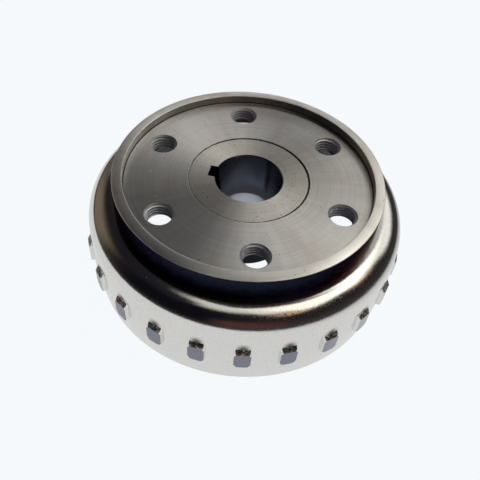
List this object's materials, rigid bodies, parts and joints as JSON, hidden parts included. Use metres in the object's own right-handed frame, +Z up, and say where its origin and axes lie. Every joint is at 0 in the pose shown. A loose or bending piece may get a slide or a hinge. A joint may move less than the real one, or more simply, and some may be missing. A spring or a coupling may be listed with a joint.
{
  "type": "flywheel",
  "caption": "Alternator rotor flywheel: a drawn steel cup with trigger nubs and inner magnets under a machined starter clutch flange with a taper bore hub.",
  "frame": {"origin": "on the crankshaft axis, in the plane of the open rim that the part rests on", "axes": "+Z up along the crankshaft axis from the open rim to the starter clutch flange, keyway towards -X"},
  "size_m": [0.118, 0.118, 0.0446],
  "materials": {
    "plated_steel": "bright nickel plate over drawn steel",
    "turned_steel": "face turned, concentric tool marks",
    "boss_steel": "dull turned with small pits",
    "magnet": "sintered, matte grey",
    "cage_plastic": "glass filled moulding",
    "thin_stainless": "rolled stainless sheet",
    "weld": "weld bead, heat tinted"
  },
  "bodies": {
    "root": {"rotor_cup": "plated_steel", "clutch_flange": "turned_steel", "hub_boss": "boss_steel", "magnet_01": "magnet", "magnet_02": "magnet", "magnet_03": "magnet", "magnet_04": "magnet", "magnet_05": "magnet", "magnet_06": "magnet", "magnet_07": "magnet", "magnet_08": "magnet", "magnet_09": "magnet", "magnet_10": "magnet", "magnet_11": "magnet", "magnet_12": "magnet", "magnet_cage": "cage_plastic", "spacer_ring": "cage_plastic", "magnet_cover": "thin_stainless", "flange_weld": "weld", "boss_weld": "weld"}
  },
  "joints": []
}
